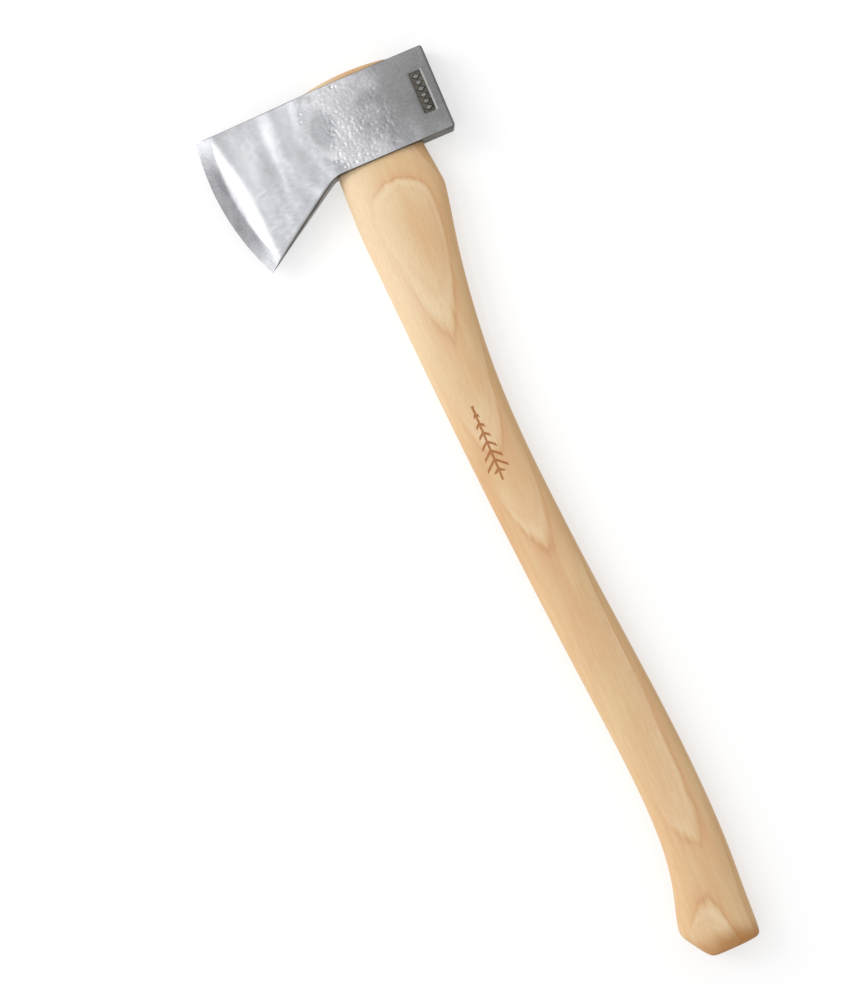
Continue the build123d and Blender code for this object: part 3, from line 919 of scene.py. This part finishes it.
def wedge_steel_material(colours):
    """Mild steel wedge, driven with a hammer: grey, with bright rubbed spots and faint dents."""
    material, tree, shader = new_material("mild_steel_hammered")
    place = add(tree, "TexCoord").outputs["Object"]
    dents = add(tree, "TexVoronoi", {"Vector": place, "Scale": 1 / (2.4 * MM)}, feature="SMOOTH_F1")
    dents = dents.outputs["Distance"]
    tone = add(
        tree, "ValToRGB", {0: dents},
        stops=[(0.1, colours.forged_light), (0.8, colours.scale_light)],
    )
    tree.links.new(tone.outputs[0], shader.inputs["Base Color"])
    shader.inputs["Metallic"].default_value = 1.0
    shader.inputs["Roughness"].default_value = 0.42
    bump = add(tree, "Bump", {"Height": dents, "Strength": 0.5, "Distance": 0.2 * MM})
    tree.links.new(bump.outputs[0], shader.inputs["Normal"])
    return material


def floor_material(colours):
    """Opal acrylic of a light table: matt, and lit a little from below to keep shadows faint."""
    material, tree, shader = new_material("opal_acrylic_matt")
    shader.inputs["Base Color"].default_value = (*colours.floor, 1)
    shader.inputs["Roughness"].default_value = 0.9
    shader.inputs["Emission Color"].default_value = (1, 1, 1, 1)
    shader.inputs["Emission Strength"].default_value = 0.56
    return material


# ---------------------------------------------------------------- properties


def length(name, default, description):
    """A length property in metres."""
    return bpy.props.FloatProperty(
        name=name, description=description, default=default, unit="LENGTH", precision=5,
    )


def colour(name, hex_colour, description):
    """A colour property, kept as linear values."""
    return bpy.props.FloatVectorProperty(
        name=name, description=description, default=linear(hex_colour), subtype="COLOR",
        min=0, max=1,
    )


class HatchetColours(bpy.types.PropertyGroup):
    """Colours of the steel, the wood and the floor."""

    # The poll and forging colours are painted shade: dark at the poll, brighter towards the bit.
    poll_shade_dark: colour("Poll, dark", "#8B8B8B", "Oiled forging at the poll, its darker patches")
    poll_shade_light: colour("Poll, light", "#989898", "Oiled forging at the poll, its lighter patches")
    forged_shade_dark: colour("Forging, dark", "#A5A5A8", "Forging beside the poll")
    forged_mid: colour("Forging, middle", "#CDCDD1", "Forging over the eye")
    forged_light: colour("Forging, light", "#DEDEE2", "Forging beside the ground bit")
    hollow: colour("Hollow", "#B2B3B7", "Forging left in the hollow that the grinding missed")
    bit_dark: colour("Bit, dark", "#B8B9BD", "Ground bit, its darker clouds")
    bit_light: colour("Bit, light", "#C8C9CD", "Ground bit, its lighter clouds")
    # The bevel's colours are painted shade.
    bevel_shade_dark: colour("Bevel, dark", "#77777B", "Bevel of the edge, its darker clouds")
    bevel_shade_light: colour("Bevel, light", "#98989C", "Bevel of the edge, its lighter clouds")
    # The scale colours also carry the painted shade on the head's rounded edges.
    scale_dark: colour("Scale, dark", "#45413C", "Forge scale on the sides, its darker patches")
    scale_light: colour("Scale, light", "#736E67", "Forge scale on the sides, its lighter patches")
    wood_pale: colour("Wood, pale", "#E9D1AC", "Palest wood, just inside a growth ring")
    wood_cream: colour("Wood, cream", "#E0C193", "Wood early in a growth ring")
    wood_tan: colour("Wood, tan", "#DDBA8B", "Wood late in a growth ring")
    wood_peach: colour("Wood, peach", "#DAAD80", "Flush before a ring's line")
    wood_line: colour("Ring line", "#CB986A", "Line that closes a growth ring")
    wood_warm: colour("Wood, warm", "#DBAD80", "Broad warm areas")
    wood_even: colour("Wood, plain", "#DCB98A", "Quarter-sawn sides, where the rings hardly show")
    wood_streak: colour("Streak", "#E8CFA6", "Pale streaks along the fibres")
    wood_sap: colour("Sapwood", "#EDD5B1", "Sapwood along the front by the head")
    # Painted shade on the faces turned to the back, away from the key light.
    wood_back_shade: colour("Heartwood", "#CFA366", "Heartwood along the back")
    wood_end: colour("End grain", "#A76B28", "Oiled end grain")
    brand_brown: colour("Brand", "#A4642A", "Scorched wood of the branded fir")
    wedge_dark: colour("Wedge, dark", "#8A5E3A", "Wooden wedge, its darker rows")
    wedge_light: colour("Wedge, light", "#B98C60", "Wooden wedge, its lighter rows")
    floor: colour("Floor", "#B4B4B4", "Opal acrylic under the hatchet")


class HatchetHeadSizes(bpy.types.PropertyGroup):
    """Sizes of the forged head."""

    poll_round: length("Poll edge rounding", 1.8 * MM, "Rounding of the edges of the poll face")
    edge_round: length("Cheek edge rounding", 0.6 * MM, "Rounding between the cheeks and the sides")
    pit_depth: length("Pit depth", 0.50 * MM, "Depth of the deepest pits of the forging")
    grind_wave: length("Grinding wave", 0.16 * MM, "Depth of the waves that the belt leaves")
    hollow_depth: length("Hollow depth", 0.20 * MM, "Depth of the hollow that the grinding missed")
    panel_x: length("Panel place", 41 * MM, "Where the stamped panel is along the head")
    panel_width: length("Panel width", 10 * MM, "Width of the stamped panel")
    panel_length: length("Panel length", 29.6 * MM, "Length of the stamped panel")
    panel_depth: length("Panel depth", 1.0 * MM, "Depth of the stamped panel")
    panel_corner: length("Panel corner", 1.0 * MM, "Corner radius of the stamped panel")
    lozenges: bpy.props.IntProperty(
        name="Lozenges", description="Raised lozenges in the panel", default=6, min=1,
    )
    lozenge_relief: length("Lozenge relief", 0.75 * MM, "Height of the raised lozenges")


class HatchetHaftSizes(bpy.types.PropertyGroup):
    """Sizes of the haft, its brand and its wedges."""

    dome: length("Tongue dome", 190 * MM, "Radius of the tongue's dressed top")
    butt_round: length("Butt rounding", 4 * MM, "Rounding of the butt and the clipped toe")
    ring_pitch: length("Ring pitch", 4.5 * MM, "Depth from one growth ring to the next")
    mark_x: length("Brand place across", -8.6 * MM, "Middle of the brand across the haft")
    mark_top: length("Brand top", -196 * MM, "Top of the brand along the haft")
    mark_half: length("Brand half width", 7.2 * MM, "Half the width of the brand's lowest branches")
    mark_pitch: length("Brand pitch", 3.1 * MM, "Half the distance from one branch to the next")
    wedge_top: length("Wedge thickness", 5.2 * MM, "Thickness of the wooden wedge at its top")
    wedge_tip: length("Wedge tip", 1.2 * MM, "Thickness of the wooden wedge at its tip")
    wedge_depth: length("Wedge depth", 42 * MM, "How deep the wooden wedge goes")
    steel_top: length("Steel wedge thickness", 3.4 * MM, "Thickness of the steel wedge at its top")
    steel_tip: length("Steel wedge tip", 0.8 * MM, "Thickness of the steel wedge at its tip")
    steel_depth: length("Steel wedge depth", 26 * MM, "How deep the steel wedge goes")
    steel_width: length("Steel wedge width", 24 * MM, "Width of the steel wedge")
    steel_x: length("Steel wedge place", 3 * MM, "Where the steel wedge is along the eye")
    steel_turn: bpy.props.FloatProperty(
        name="Steel wedge turn", description="Angle between the wedges",
        default=math.radians(26), subtype="ANGLE",
    )
    steel_sunk: length("Steel wedge sunk", 0.25 * MM, "How far the steel wedge is below the wood")


# ---------------------------------------------------------------- operators


class HATCHET_OT_head(bpy.types.Operator):
    """Forge the head, with its eye and its stamped panel"""

    bl_idname = "hatchet.head"
    bl_label = "Head"

    def execute(self, context):
        sizes = context.scene.hatchet_head
        head = forge_head(sizes)
        head.name = "hatchet_head"
        eye = ring_tube("eye", EYE_RINGS)
        close_up(eye)
        modify(eye, "SUBSURF", levels=2, render_levels=2)
        stamp = lozenge_panel(sizes)
        for cutter in (eye, stamp):
            cut(head, cutter)
            bpy.data.objects.remove(cutter)
        steel = steel_material(context.scene.hatchet_colours)
        finish_piece(head, steel, "root", "forged_steel", "head", sharp=32)
        return {"FINISHED"}


class HATCHET_OT_haft(bpy.types.Operator):
    """Shape the haft, saw its kerf and drive both wedges"""

    bl_idname = "hatchet.haft"
    bl_label = "Haft and wedges"

    def execute(self, context):
        sizes = context.scene.hatchet_haft
        blank = haft_blank(sizes)
        kerf = wedge_block(
            "kerf", sizes.wedge_top, sizes.wedge_tip, sizes.wedge_depth, HEAD_LENGTH, 0.0, 0.0
        )
        slit = wedge_block(
            "slit", sizes.steel_top, sizes.steel_tip, sizes.steel_depth, sizes.steel_width,
            sizes.steel_x, -sizes.steel_turn,
        )
        wood = copy_of(kerf, "hatchet_wooden_wedge")
        cut(wood, blank, "INTERSECT")
        cut(wood, slit)
        steel = copy_of(slit, "hatchet_steel_wedge")
        cut(steel, blank, "INTERSECT")
        for vertex in steel.data.vertices:
            if vertex.co.y > TONGUE_TOP - 3 * MM:
                vertex.co.y -= sizes.steel_sunk
        haft = copy_of(blank, "hatchet_haft")
        for cutter in (kerf, slit):
            cut(haft, cutter)
            bpy.data.objects.remove(cutter)
        bpy.data.objects.remove(blank)
        colours = context.scene.hatchet_colours
        hickory = wood_material(colours, sizes)
        finish_piece(haft, hickory, "root", "haft_wood", "haft", sharp=40)
        poplar = wedge_wood_material(colours)
        finish_piece(wood, poplar, "root", "wedge_wood", "wooden_wedge", sharp=40)
        mild_steel = wedge_steel_material(colours)
        finish_piece(steel, mild_steel, "root", "wedge_steel", "steel_wedge", sharp=40)
        return {"FINISHED"}


def softbox(name, place, aim, size, radiance):
    """An area light at place, facing aim, whose face is as bright as radiance."""
    bpy.ops.object.light_add(type="AREA", location=place)
    lamp = bpy.context.object
    lamp.name = name
    lamp.data.shape = "RECTANGLE"
    lamp.data.size, lamp.data.size_y = size
    lamp.data.energy = radiance * math.pi * size[0] * size[1]
    facing = Vector(aim) - Vector(place)
    lamp.rotation_euler = facing.to_track_quat("-Z", "Y").to_euler()
    lamp.visible_camera = False


class HATCHET_OT_stage(bpy.types.Operator):
    """Lay the acrylic floor, set the softboxes and place the camera"""

    bl_idname = "hatchet.stage"
    bl_label = "Studio"

    def execute(self, context):
        bpy.ops.mesh.primitive_plane_add(size=FLOOR_SIZE, location=FLOOR_PLACE)
        floor = named("floor")
        floor.data.materials.append(floor_material(context.scene.hatchet_colours))

        world = bpy.data.worlds.new("studio_air")
        world.use_nodes = True
        air = world.node_tree
        air.nodes.clear()
        facing = add(air, "TexCoord").outputs["Generated"]
        lit = add(air, "VectorMath", {0: facing, 1: AIR_BRIGHT_SIDE}, operation="DOT_PRODUCT")
        lit = lit.outputs["Value"]
        level = add(air, "MapRange", {0: lit, 1: -1.0, 2: 1.0, 3: AIR_DIM, 4: AIR_BRIGHT})
        glow = add(air, "Background", {"Color": (1, 1, 1, 1), "Strength": level})
        add(air, "OutputWorld", {"Surface": glow})
        context.scene.world = world
        context.scene.view_settings.view_transform = "Standard"

        softbox("key_left", KEY_PLACE, KEY_AIM, KEY_SIZE, KEY_RADIANCE)
        softbox("strip_over_bit", STRIP_PLACE, STRIP_AIM, STRIP_SIZE, STRIP_RADIANCE)

        bpy.ops.object.camera_add(location=CAMERA_PLACE)
        camera = context.object
        camera.name = "camera"
        camera.rotation_euler = (0, 0, CAMERA_TURN)
        camera.data.sensor_width = CAMERA_SENSOR
        camera.data.lens = CAMERA_LENS
        context.scene.camera = camera
        return {"FINISHED"}


class HATCHET_PT_panel(bpy.types.Panel):
    """Lists the hatchet's pieces and their sizes"""

    bl_idname = "HATCHET_PT_panel"
    bl_label = "Hatchet"
    bl_space_type = "VIEW_3D"
    bl_region_type = "UI"
    bl_category = "Hatchet"

    def draw(self, context):
        for operator in (HATCHET_OT_head, HATCHET_OT_haft, HATCHET_OT_stage):
            self.layout.operator(operator.bl_idname)
        scene = context.scene
        for group in (scene.hatchet_head, scene.hatchet_haft, scene.hatchet_colours):
            box = self.layout.box()
            for name in group.__annotations__:
                box.prop(group, name)


CLASSES = [
    HatchetColours,
    HatchetHeadSizes,
    HatchetHaftSizes,
    HATCHET_OT_head,
    HATCHET_OT_haft,
    HATCHET_OT_stage,
    HATCHET_PT_panel,
]


def register():
    for made in CLASSES:
        bpy.utils.register_class(made)
    bpy.types.Scene.hatchet_colours = bpy.props.PointerProperty(type=HatchetColours)
    bpy.types.Scene.hatchet_head = bpy.props.PointerProperty(type=HatchetHeadSizes)
    bpy.types.Scene.hatchet_haft = bpy.props.PointerProperty(type=HatchetHaftSizes)


def unregister():
    del bpy.types.Scene.hatchet_haft
    del bpy.types.Scene.hatchet_head
    del bpy.types.Scene.hatchet_colours
    for made in reversed(CLASSES):
        bpy.utils.unregister_class(made)


def main():
    register()
    bpy.ops.hatchet.stage()
    bpy.ops.hatchet.head()
    bpy.ops.hatchet.haft()


if __name__ == "__main__":
    main()
